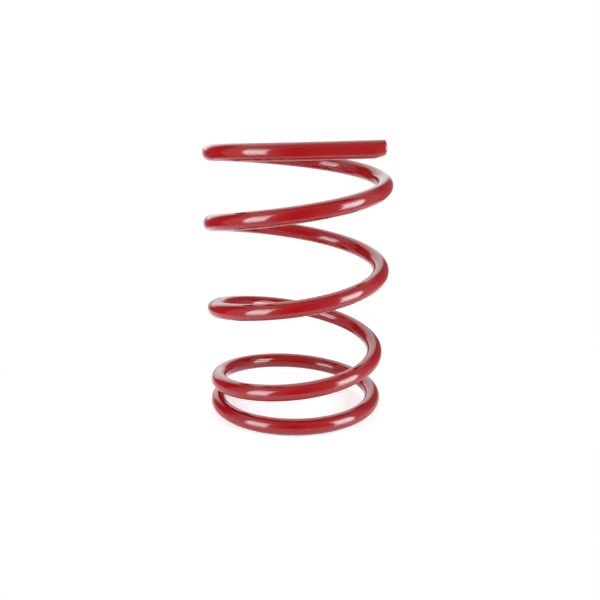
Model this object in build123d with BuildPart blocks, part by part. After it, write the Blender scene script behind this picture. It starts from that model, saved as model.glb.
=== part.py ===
# Suspension coil spring, wound from one round steel bar.
# Millimetres. The origin is on the coil axis, in the plane that the spring stands on. +Z is up.
# The coil is right-handed. It is described from its upper end downwards: a straight tail, a first
# coil of small pitch, open coils, and a lower coil that is narrower and flattens into the seat.
import os
from math import cos, pi, radians, sin

from build123d import *

# Bar and coil diameters, the latter measured to the middle of the bar
bar_diameter = 13.0
coil_diameter = 138.0
lower_coil_diameter = 130.0

# Turns of the coil, from the tail down to the lower bar end
coil_turns = 4.33
first_coil_turns = 0.97
closing_turns = 1.535
seat_turns = 0.175

# Rise of the bar for each turn, where the tail meets the coil and in the open coils
tail_pitch = 15.0
coil_pitch = 70.0

# The coil narrows over these turns and keeps the lower diameter for the rest
narrowing_turns = 2.0
lower_coil_turns = 1.06

# Straight tail of the upper bar end, and the direction from the axis where it meets the coil
tail_length = 54.0
tail_angle = -83.0

# Sheared bar ends: the blade draws the underside up over the last few millimetres
sheared_length = 9.0
sheared_draw = 1.8
end_edge_radius = 1.6

# The coil's centre line is made of this many tangent arcs for each turn
arcs_each_turn = 12

bar_radius = bar_diameter / 2
closing_start = coil_turns - seat_turns - closing_turns
closing_end = coil_turns - seat_turns
narrowing_end = coil_turns - lower_coil_turns
narrowing_start = narrowing_end - narrowing_turns


def ramp_area(start, end, turn):
    """Area under a straight ramp that climbs from 0 at start to 1 at end and stays there."""
    if turn <= start:
        return 0.0
    on_ramp = min(turn, end) - start
    return on_ramp**2 / (2 * (end - start)) + max(turn - end, 0.0)


def descent(turn):
    """Fall of the centre line below the point where the tail meets the coil."""
    return (
        tail_pitch * turn
        + (coil_pitch - tail_pitch) * ramp_area(0.0, first_coil_turns, turn)
        - coil_pitch * ramp_area(closing_start, closing_end, turn)
    )


def winding_radius(turn):
    """Distance of the centre line from the coil axis."""
    share = min(max((turn - narrowing_start) / narrowing_turns, 0.0), 1.0)
    blend = share * share * (3 - 2 * share)
    return (coil_diameter + (lower_coil_diameter - coil_diameter) * blend) / 2


def centre_point(turn):
    """Point of the centre line, the given number of turns below the tail."""
    direction = radians(tail_angle) - 2 * pi * turn
    radius = winding_radius(turn)
    height = bar_radius + descent(coil_turns) - descent(turn)
    return Vector(radius * cos(direction), radius * sin(direction), height)


def heading(turn, step=1e-5):
    """Unit vector down the bar."""
    return (centre_point(turn + step) - centre_point(turn - step)).normalized()


def end_plane(point, outward):
    """Plane square to the bar, facing out of its end, with its own Y upwards."""
    sideways = Vector(0, 0, 1).cross(outward)
    return Plane(origin=point, x_dir=sideways, z_dir=outward)


# Centre line, without the two sheared lengths
tail_root = centre_point(0.0)
tail_heading = heading(0.0) * -1
tail_tip = tail_root + tail_heading * (tail_length - sheared_length)

sheared_turns = sheared_length / (2 * pi * winding_radius(coil_turns))
last_turn = coil_turns - sheared_turns
arcs = round(arcs_each_turn * last_turn)
arc_ends = [centre_point(last_turn * index / arcs) for index in range(arcs + 1)]

# One bar: swept round section, then a drawn-down length and a rounded rim at each end
with BuildPart() as coil_spring:
    with BuildLine() as centre_line:
        bar_line = Line(tail_tip, tail_root)
        for arc_start, arc_end in zip(arc_ends, arc_ends[1:]):
            bar_line = TangentArc(arc_start, arc_end, tangent=bar_line % 1)

    upper_end = end_plane(tail_tip, tail_heading)
    lower_end = end_plane(arc_ends[-1], bar_line % 1)
    with BuildSketch(upper_end):
        Circle(bar_radius)
    sweep(path=centre_line.wire())

    for bar_end in (upper_end, lower_end):
        with BuildSketch(bar_end):
            Circle(bar_radius)
        with BuildSketch(bar_end.offset(sheared_length)):
            with Locations((0, sheared_draw / 2)):
                Circle(bar_radius - sheared_draw / 2)
        loft()
        cut_face = coil_spring.faces().sort_by_distance(bar_end.offset(sheared_length).origin)[0]
        fillet(cut_face.edges(), end_edge_radius)

coil_spring.part.label = "coil_spring"

os.makedirs("parts", exist_ok=True)
export_step(coil_spring.part, "parts/coil_spring.step")

print("free length", round(coil_spring.part.bounding_box().max.Z, 2))
print("bar length", round(centre_line.wire().length + 2 * sheared_length, 1))
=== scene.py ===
from math import ceil, cos, pi, radians, sin, sqrt

import bmesh
import bpy
from mathutils import Euler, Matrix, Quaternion, Vector


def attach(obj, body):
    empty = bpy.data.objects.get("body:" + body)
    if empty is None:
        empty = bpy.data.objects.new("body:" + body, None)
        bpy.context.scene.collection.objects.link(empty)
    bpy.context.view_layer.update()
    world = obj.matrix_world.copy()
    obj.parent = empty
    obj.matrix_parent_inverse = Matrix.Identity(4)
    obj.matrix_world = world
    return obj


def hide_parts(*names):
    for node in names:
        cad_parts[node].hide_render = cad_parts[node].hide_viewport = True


# Suspension coil spring: one round steel bar, wound right-handed and powder coated red.
# Metres. The origin is on the coil axis, in the plane that the spring stands on, +Z up.

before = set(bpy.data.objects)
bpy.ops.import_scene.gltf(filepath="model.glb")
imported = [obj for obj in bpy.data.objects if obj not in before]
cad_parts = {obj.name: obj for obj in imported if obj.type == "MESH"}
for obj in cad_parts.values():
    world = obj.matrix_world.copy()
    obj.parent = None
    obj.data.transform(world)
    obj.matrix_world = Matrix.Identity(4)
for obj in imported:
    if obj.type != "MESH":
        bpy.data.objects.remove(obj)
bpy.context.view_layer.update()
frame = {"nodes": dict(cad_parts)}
print("frame loaded:", ", ".join(frame["nodes"]))


def linear(hexCode):  # sRGB hex to linear RGBA
    parts = [int(hexCode[i:i + 2], 16) / 255 for i in (1, 3, 5)]
    return [c / 12.92 if c <= 0.04045 else ((c + 0.055) / 1.055) ** 2.4 for c in parts] + [1]


def addNode(tree, kind, *inputs, settings=None, **named):
    # inputs fill the sockets in order, named ones go by socket name with _ for a space
    node = tree.nodes.new(kind)
    for name, value in (settings or {}).items():
        setattr(node, name, value)
    pairs = list(zip(node.inputs, inputs))
    pairs += [(node.inputs[name.replace("_", " ")], value) for name, value in named.items()]
    for socket, value in pairs:
        if isinstance(value, bpy.types.NodeSocket):
            tree.links.new(value, socket)
        elif value is not None:
            socket.default_value = value
    return node


def newMaterial(name):
    material = bpy.data.materials.new(name)
    material.use_nodes = True
    material.node_tree.nodes.clear()
    return material, material.node_tree


# The coil is described from its upper end down: a straight tail, a first coil of small pitch,
# open coils, and a narrower lower coil that flattens into the seat
spring = dict(
    barDiameter=0.013,
    coilDiameter=0.138,
    lowerCoilDiameter=0.130,
    coilTurns=4.33,
    firstCoilTurns=0.97,
    closingTurns=1.535,
    seatTurns=0.175,
    tailPitch=0.015,
    coilPitch=0.070,
    narrowingTurns=2.0,
    lowerCoilTurns=1.06,
    tailLength=0.054,
    tailAngle=-83,
    shearedLength=0.009,
    shearedDraw=0.0018,
    endEdgeRadius=0.0016,
    ringSpacing=0.002,
    pointsRound=64,
    edgeRings=7,
    faceRings=9,
)
# The lower half of each cut face is torn a little deeper than the sheared half
fracture = dict(
    depth=0.0004,
    middle=0.5,
    steepness=1.6,
    rimSteepness=2.2,
    waves=[(0.15, 2400, 0), (0.1, 5100, 2)],  # of its border: height, radians per metre, phase
)


def rampArea(start, end, turn):  # area under a ramp from 0 at start to 1 at end
    if turn <= start:
        return 0
    onRamp = min(turn, end) - start
    return onRamp ** 2 / (2 * (end - start)) + max(turn - end, 0)


def descent(turn):
    closingEnd = spring["coilTurns"] - spring["seatTurns"]
    closingStart = closingEnd - spring["closingTurns"]
    opening = (spring["coilPitch"] - spring["tailPitch"]) * rampArea(0, spring["firstCoilTurns"], turn)
    closing = spring["coilPitch"] * rampArea(closingStart, closingEnd, turn)
    return spring["tailPitch"] * turn + opening - closing


def smoothStep(x):
    x = min(max(x, 0), 1)
    return x * x * (3 - 2 * x)


def windingRadius(turn):
    start = spring["coilTurns"] - spring["lowerCoilTurns"] - spring["narrowingTurns"]
    narrowed = smoothStep((turn - start) / spring["narrowingTurns"])
    narrowing = spring["lowerCoilDiameter"] - spring["coilDiameter"]
    return (spring["coilDiameter"] + narrowing * narrowed) / 2


def centrePoint(turn):
    angle = radians(spring["tailAngle"]) - 2 * pi * turn
    radius = windingRadius(turn)
    height = spring["barDiameter"] / 2 + descent(spring["coilTurns"]) - descent(turn)
    return Vector((radius * cos(angle), radius * sin(angle), height))


def upward(turn, step=1e-5):  # unit vector up the bar
    return (centrePoint(turn - step) - centrePoint(turn + step)).normalized()


def barStations():
    # Centre line from the lower end to the upper: (point, direction up the bar)
    stations = []
    coilRings = ceil(spring["coilTurns"] * pi * spring["coilDiameter"] / spring["ringSpacing"])
    for ring in range(coilRings + 1):
        turn = spring["coilTurns"] * (1 - ring / coilRings)
        stations.append((centrePoint(turn), upward(turn)))
    root, heading = stations[-1]
    tailRings = ceil(spring["tailLength"] / spring["ringSpacing"])
    for ring in range(1, tailRings + 1):
        stations.append((root + heading * spring["tailLength"] * ring / tailRings, heading))
    return stations


def endSection(distance):
    # Radius of the bar and the lift of its middle, at that distance from a sheared end
    draw = spring["shearedDraw"] / 2 * smoothStep(1 - distance / spring["shearedLength"])
    return spring["barDiameter"] / 2 - draw, draw


def makeSpring():
    stations = barStations()
    mesh = bmesh.new()
    rings = []

    def addRing(centre, heading, radius, lift, relief=None):
        sideways = Vector((0, 0, 1)).cross(heading).normalized()
        up = heading.cross(sideways)
        ring = []
        for index in range(spring["pointsRound"]):
            angle = 2 * pi * index / spring["pointsRound"]
            across, over = radius * cos(angle), radius * sin(angle)
            point = centre + sideways * across + up * (over + lift)
            if relief:
                point -= heading * relief(across, over)
            ring.append(mesh.verts.new(point))
        rings.append(ring)

    def endFace(tip, outward, side):
        # Rounded rim, then the cut face: a smooth sheared half and a lower, torn half
        radius, lift = endSection(0)
        edge = spring["endEdgeRadius"]
        flat = radius - edge

        def torn(across, over):
            share = sqrt(across ** 2 + over ** 2) / flat
            wave = sum(size * sin(across * rate + phase) for size, rate, phase in fracture["waves"])
            step = smoothStep(fracture["middle"] - over / flat * fracture["steepness"] + wave)
            rim = smoothStep(fracture["rimSteepness"] - fracture["rimSteepness"] * share)
            return side * fracture["depth"] * step * rim

        heading = outward * side
        for index in range(1, spring["edgeRings"] + 1):
            turned = pi / 2 * index / spring["edgeRings"]
            inset = edge * (1 - sin(turned))
            yield tip - outward * inset, heading, flat + edge * cos(turned), lift, None
        for index in range(1, spring["faceRings"]):
            yield tip, heading, flat * (1 - index / spring["faceRings"]), lift, torn

    lowerTip, lowerHeading = stations[0]
    upperTip, upperHeading = stations[-1]
    lowerRings = list(endFace(lowerTip, -lowerHeading, -1))
    for ring in reversed(lowerRings):
        addRing(*ring)
    travelled = [0]
    for before, after in zip(stations, stations[1:]):
        travelled.append(travelled[-1] + (after[0] - before[0]).length)
    for (point, heading), run in zip(stations, travelled):
        distance = min(run, travelled[-1] - run)
        if distance >= spring["endEdgeRadius"]:
            addRing(point, heading, *endSection(distance))
    for ring in endFace(upperTip, upperHeading, 1):
        addRing(*ring)

    count = spring["pointsRound"]
    for lower, upper in zip(rings, rings[1:]):
        for index in range(count):
            after = (index + 1) % count
            mesh.faces.new((lower[index], lower[after], upper[after], upper[index]))
    for ring in (rings[0], rings[-1]):
        middle = mesh.verts.new(sum((v.co for v in ring), Vector()) / count)
        for index in range(count):
            mesh.faces.new((ring[index], ring[(index + 1) % count], middle))
    bmesh.ops.recalc_face_normals(mesh, faces=mesh.faces)
    data = bpy.data.meshes.new("coiledBar")
    mesh.to_mesh(data)
    mesh.free()
    data.polygons.foreach_set("use_smooth", [True] * len(data.polygons))
    coiledBar = bpy.data.objects.new("coiledBar", data)
    bpy.context.scene.collection.objects.link(coiledBar)
    print("coiled bar:", len(data.polygons), "faces,", round(travelled[-1] * 1000), "mm long")
    return coiledBar


white = (1, 1, 1, 1)
coating = dict(
    colour="#980007",
    thinColour="#910006",
    patchSize=0.03,  # the film's thickness drifts over about this length
    patchDetail=2,
    roughness=0.09,
    ior=1.6,
    glossTint="#eaffff",  # straight on, the clear film mirrors a little less red than blue
    peelSize=0.0022,
    peelDetail=1,
    peelFineness=0.4,
    peelHeight=0.0000015,
)


def powderCoat():
    # Polyester powder coat on spring steel, sprayed and baked: deep even red under a wet-looking gloss
    material, tree = newMaterial("polyesterPowderCoatOnSpringSteel")
    place = addNode(tree, "ShaderNodeTexCoord").outputs["Object"]
    drift = addNode(tree, "ShaderNodeTexNoise", Vector=place, Scale=1 / coating["patchSize"],
                    Detail=coating["patchDetail"])
    film = addNode(tree, "ShaderNodeMixRGB", drift.outputs["Fac"],
                   linear(coating["colour"]), linear(coating["thinColour"]))
    # orange peel: the melted powder levels out to waves of about two millimetres
    peel = addNode(tree, "ShaderNodeTexNoise", Vector=place, Scale=1 / coating["peelSize"],
                   Detail=coating["peelDetail"], Roughness=coating["peelFineness"])
    bump = addNode(tree, "ShaderNodeBump", Height=peel.outputs["Fac"], Distance=coating["peelHeight"])
    paint = addNode(tree, "ShaderNodeBsdfPrincipled", Base_Color=film.outputs["Color"],
                    Roughness=coating["roughness"], IOR=coating["ior"],
                    Specular_Tint=linear(coating["glossTint"]), Normal=bump.outputs["Normal"])
    addNode(tree, "ShaderNodeOutputMaterial", paint.outputs["BSDF"])
    return material


coiledBar = makeSpring()
coiledBar.data.materials.append(powderCoat())
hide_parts("coil_spring")
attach(coiledBar, "root")

# Studio: a small white table top, so that the softboxes show below its rim in the spring's gloss
tableTop = dict(
    radius=0.33,
    middle=(0.025, 0.13),  # it lies mostly behind the spring
    colour="#f2f2f2",
    ior=1.5,
    sheenRoughness=0.2,
    cameraGlow=0.48,  # lifts it to white for the camera, and leaves its shadow pale
    glossGlow=0.34,
    shadeRadius=0.21,
    whiteRadius=0.31,
    segments=96,
)
smooth = dict(interpolation_type="SMOOTHSTEP")
times = dict(operation="MULTIPLY")


def makeFloor():
    # Cast white acrylic: the camera sees it turn plain white towards its rim, as a lit sweep does,
    # and its sheen doubles the softboxes in the spring's gloss
    material, tree = newMaterial("castWhiteAcrylic")
    path = addNode(tree, "ShaderNodeLightPath")
    camera, glossy = path.outputs["Is Camera Ray"], path.outputs["Is Glossy Ray"]
    matt = addNode(tree, "ShaderNodeBsdfDiffuse", linear(tableTop["colour"]))
    slant = addNode(tree, "ShaderNodeFresnel", tableTop["ior"])
    share = addNode(tree, "ShaderNodeMath", slant.outputs["Fac"], glossy, settings=times)
    sheen = addNode(tree, "ShaderNodeBsdfGlossy", white, tableTop["sheenRoughness"])
    face = addNode(tree, "ShaderNodeMixShader", share.outputs["Value"], matt.outputs["BSDF"],
                   sheen.outputs["BSDF"])
    mirrored = addNode(tree, "ShaderNodeMath", glossy, tableTop["glossGlow"], settings=times)
    lift = addNode(tree, "ShaderNodeMath", camera, tableTop["cameraGlow"], mirrored.outputs["Value"],
                   settings=dict(operation="MULTIPLY_ADD"))
    glow = addNode(tree, "ShaderNodeEmission", white, lift.outputs["Value"])
    lit = addNode(tree, "ShaderNodeAddShader", face.outputs["Shader"], glow.outputs["Emission"])
    place = addNode(tree, "ShaderNodeTexCoord").outputs["Object"]
    away = addNode(tree, "ShaderNodeVectorMath", place, settings=dict(operation="LENGTH"))
    rim = addNode(tree, "ShaderNodeMapRange", away.outputs["Value"], tableTop["shadeRadius"],
                  tableTop["whiteRadius"], settings=smooth)
    outer = addNode(tree, "ShaderNodeMath", camera, rim.outputs["Result"], settings=times)
    plain = addNode(tree, "ShaderNodeEmission", white, 1)
    surface = addNode(tree, "ShaderNodeMixShader", outer.outputs["Value"], lit.outputs["Shader"],
                      plain.outputs["Emission"])
    addNode(tree, "ShaderNodeOutputMaterial", surface.outputs["Shader"])

    mesh = bmesh.new()
    bmesh.ops.create_circle(mesh, cap_ends=True, segments=tableTop["segments"],
                             radius=tableTop["radius"])
    data = bpy.data.meshes.new("tableTop")
    mesh.to_mesh(data)
    mesh.free()
    data.materials.append(material)
    floor = bpy.data.objects.new("tableTop", data)
    floor.location = (*tableTop["middle"], 0)
    bpy.context.scene.collection.objects.link(floor)
    print("floor laid")


makeFloor()

# Two upright softboxes, and two faint fills that light the spring's left side and its back but stay
# out of its gloss. Bearing and height are in degrees from the middle of the spring, bearing 0 being
# the camera's side. Brightness is against the white background's 1
lampCentre = Vector((0, 0, 0.12))
lamps = dict(
    leftSoftbox=dict(bearing=-49.5, height=5.5, distance=1.0, width=0.63, tall=1.7, brightness=9.3),
    rightSoftbox=dict(bearing=65.2, height=9, distance=1.2, width=0.76, tall=1.8, brightness=11.2),
    leftFill=dict(bearing=-95, height=0, distance=1.2, width=0.8, tall=1.0, brightness=0.9,
                  inGloss=False),
    backFill=dict(bearing=180, height=8, distance=1.2, width=1.6, tall=1.0, brightness=3,
                  inGloss=False),
)
lampColour = "#eaf7ff"
lampEdges = dict(X=0.2, Y=0.5)  # the cloth brightens over this share of its width and height


def addLamp(name, bearing, height, distance, width, tall, brightness, inGloss=True):
    around, above = radians(bearing), radians(height)
    away = Vector((sin(around) * cos(above), -cos(around) * cos(above), sin(above)))
    light = bpy.data.lights.new(name, "AREA")
    light.shape = "RECTANGLE"
    light.size, light.size_y = width, tall
    light.energy = brightness * pi * width * tall
    light.use_nodes = True
    tree = light.node_tree
    tree.nodes.clear()
    # the cloth is brightest in its middle and fades towards its edges, mostly the upper and lower
    place = addNode(tree, "ShaderNodeNewGeometry").outputs["Parametric"]
    axes = addNode(tree, "ShaderNodeSeparateXYZ", place)
    fades = []
    for axis, depth in lampEdges.items():
        # runs from 0 at both edges to 0.5 in the middle
        inward = addNode(tree, "ShaderNodeMath", axes.outputs[axis], 0.5,
                         settings=dict(operation="PINGPONG"))
        fall = addNode(tree, "ShaderNodeMapRange", inward.outputs["Value"], 0, depth, settings=smooth)
        fades.append(fall.outputs["Result"])
    both = addNode(tree, "ShaderNodeMath", *fades, settings=times)
    glow = addNode(tree, "ShaderNodeEmission", linear(lampColour), both.outputs["Value"])
    addNode(tree, "ShaderNodeOutputLight", glow.outputs["Emission"])
    lamp = bpy.data.objects.new(name, light)
    lamp.location = lampCentre + away * distance
    lamp.rotation_mode = "QUATERNION"
    lamp.rotation_quaternion = away.to_track_quat("Z", "Y")
    lamp.visible_camera = False
    lamp.visible_glossy = inGloss
    bpy.context.scene.collection.objects.link(lamp)


for name, settings in lamps.items():
    addLamp(name, **settings)

# The room as (bearing, brightness) stops: dark behind the camera, pale walls beside the softboxes,
# a dark gap behind each, and the white backdrop, which is in shade below the height of the table.
# The ceiling is darker to the front
room = dict(
    wallsBelow=[(-180, 0.9), (-156, 0.75), (-143, 0.15), (-126, 0.1), (-104, 0.12), (-94, 0.6),
                (-74, 0.7), (-30, 0.6), (-15, 0.25), (0, 0.15), (20, 0.3), (80, 0.75), (105, 0.7),
                (116, 0.45), (130, 0.25), (157, 0.25), (166, 0.65), (180, 0.9)],
    wallsAbove=[(-180, 1.8), (-147, 1.8), (-138, 0.3), (-130, 0.12), (-104, 0.12), (-94, 0.55),
                (-74, 0.85), (-30, 0.6), (-15, 0.25), (0, 0.15), (20, 0.3), (80, 0.8), (105, 0.6),
                (112, 0.35), (130, 0.2), (158, 0.2), (170, 1.8), (180, 1.8)],
    horizon=(0, 0.12),
    ceilingFront=0.45,
    ceilingBack=1.9,
    ceilingSpread=0.12,  # share of the ceiling's light that is more than a reflection
    ceilingTowards=(-0.35, 0.94, 0),
    ceilingReach=(-0.25, 0.7),
    ceilingEdge=(0.6, 0.92),
    seenWalls="#e6e6e6",  # pale grey beside and in front, so that bright rims show against it
    seenBackdrop=(0.25, 0.7),
)


def makeWorld():
    world = bpy.data.worlds.new("whiteStudio")
    bpy.context.scene.world = world
    world.use_nodes = True
    tree = world.node_tree
    tree.nodes.clear()
    direction = addNode(tree, "ShaderNodeTexCoord").outputs["Generated"]
    axes = addNode(tree, "ShaderNodeSeparateXYZ", direction)
    forward = addNode(tree, "ShaderNodeMath", axes.outputs["Y"], -1, settings=times)
    bearing = addNode(tree, "ShaderNodeMath", axes.outputs["X"], forward.outputs["Value"],
                      settings=dict(operation="ARCTAN2"))
    circle = addNode(tree, "ShaderNodeMapRange", bearing.outputs["Value"], -pi, pi)
    walls = []
    for stops in (room["wallsBelow"], room["wallsAbove"]):
        around = addNode(tree, "ShaderNodeValToRGB", circle.outputs["Result"])
        ramp = around.color_ramp
        while len(ramp.elements) < len(stops):
            ramp.elements.new(0.5)
        for element, (degrees, brightness) in zip(ramp.elements, stops):
            element.position = (degrees + 180) / 360
            element.color = [brightness] * 3 + [1]
        walls.append(around.outputs["Color"])
    over = addNode(tree, "ShaderNodeMapRange", axes.outputs["Z"], *room["horizon"], settings=smooth)
    sides = addNode(tree, "ShaderNodeMixRGB", over.outputs["Result"], *walls)
    back = addNode(tree, "ShaderNodeVectorMath", direction, room["ceilingTowards"],
                   settings=dict(operation="DOT_PRODUCT"))
    depth = addNode(tree, "ShaderNodeMapRange", back.outputs["Value"], *room["ceilingReach"],
                    settings=smooth)
    glow = addNode(tree, "ShaderNodeMapRange", depth.outputs["Result"], 0, 1, room["ceilingFront"],
                   room["ceilingBack"])
    path = addNode(tree, "ShaderNodeLightPath")
    share = addNode(tree, "ShaderNodeMapRange", path.outputs["Is Glossy Ray"], 0, 1,
                    room["ceilingSpread"], 1)
    ceiling = addNode(tree, "ShaderNodeMath", glow.outputs["Result"], share.outputs["Result"],
                      settings=times)
    above = addNode(tree, "ShaderNodeMapRange", axes.outputs["Z"], *room["ceilingEdge"], settings=smooth)
    both = addNode(tree, "ShaderNodeMixRGB", above.outputs["Result"], sides.outputs["Color"],
                   ceiling.outputs["Value"])
    # the camera sees a plain white backdrop and pale grey walls instead
    behind = addNode(tree, "ShaderNodeMapRange", axes.outputs["Y"], *room["seenBackdrop"],
                     settings=smooth)
    plain = addNode(tree, "ShaderNodeMixRGB", behind.outputs["Result"], linear(room["seenWalls"]),
                    white)
    seen = addNode(tree, "ShaderNodeMixRGB", path.outputs["Is Camera Ray"], both.outputs["Color"],
                   plain.outputs["Color"])
    sky = addNode(tree, "ShaderNodeBackground", seen.outputs["Color"], 1)
    addNode(tree, "ShaderNodeOutputWorld", sky.outputs["Background"])
    print("studio lit")


makeWorld()

viewpoint = dict(
    focal=752.27,  # in pixels of a 600-pixel-wide image
    imageWidth=600,
    sensor=36,
    place=(0.00286, -0.60341, 0.2486),
    down=14.591,
    roll=0.766,
)


def makeCamera():
    lens = bpy.data.cameras.new("camera")
    lens.sensor_width = viewpoint["sensor"]
    lens.lens = viewpoint["focal"] / viewpoint["imageWidth"] * viewpoint["sensor"]
    camera = bpy.data.objects.new("camera", lens)
    camera.location = viewpoint["place"]
    camera.rotation_mode = "QUATERNION"
    level = Euler((radians(90 - viewpoint["down"]), 0, 0)).to_quaternion()
    camera.rotation_quaternion = level @ Quaternion((0, 0, 1), radians(viewpoint["roll"]))
    bpy.context.scene.collection.objects.link(camera)
    bpy.context.scene.camera = camera
    print("camera placed")


makeCamera()
bpy.context.scene.view_settings.view_transform = "Standard"
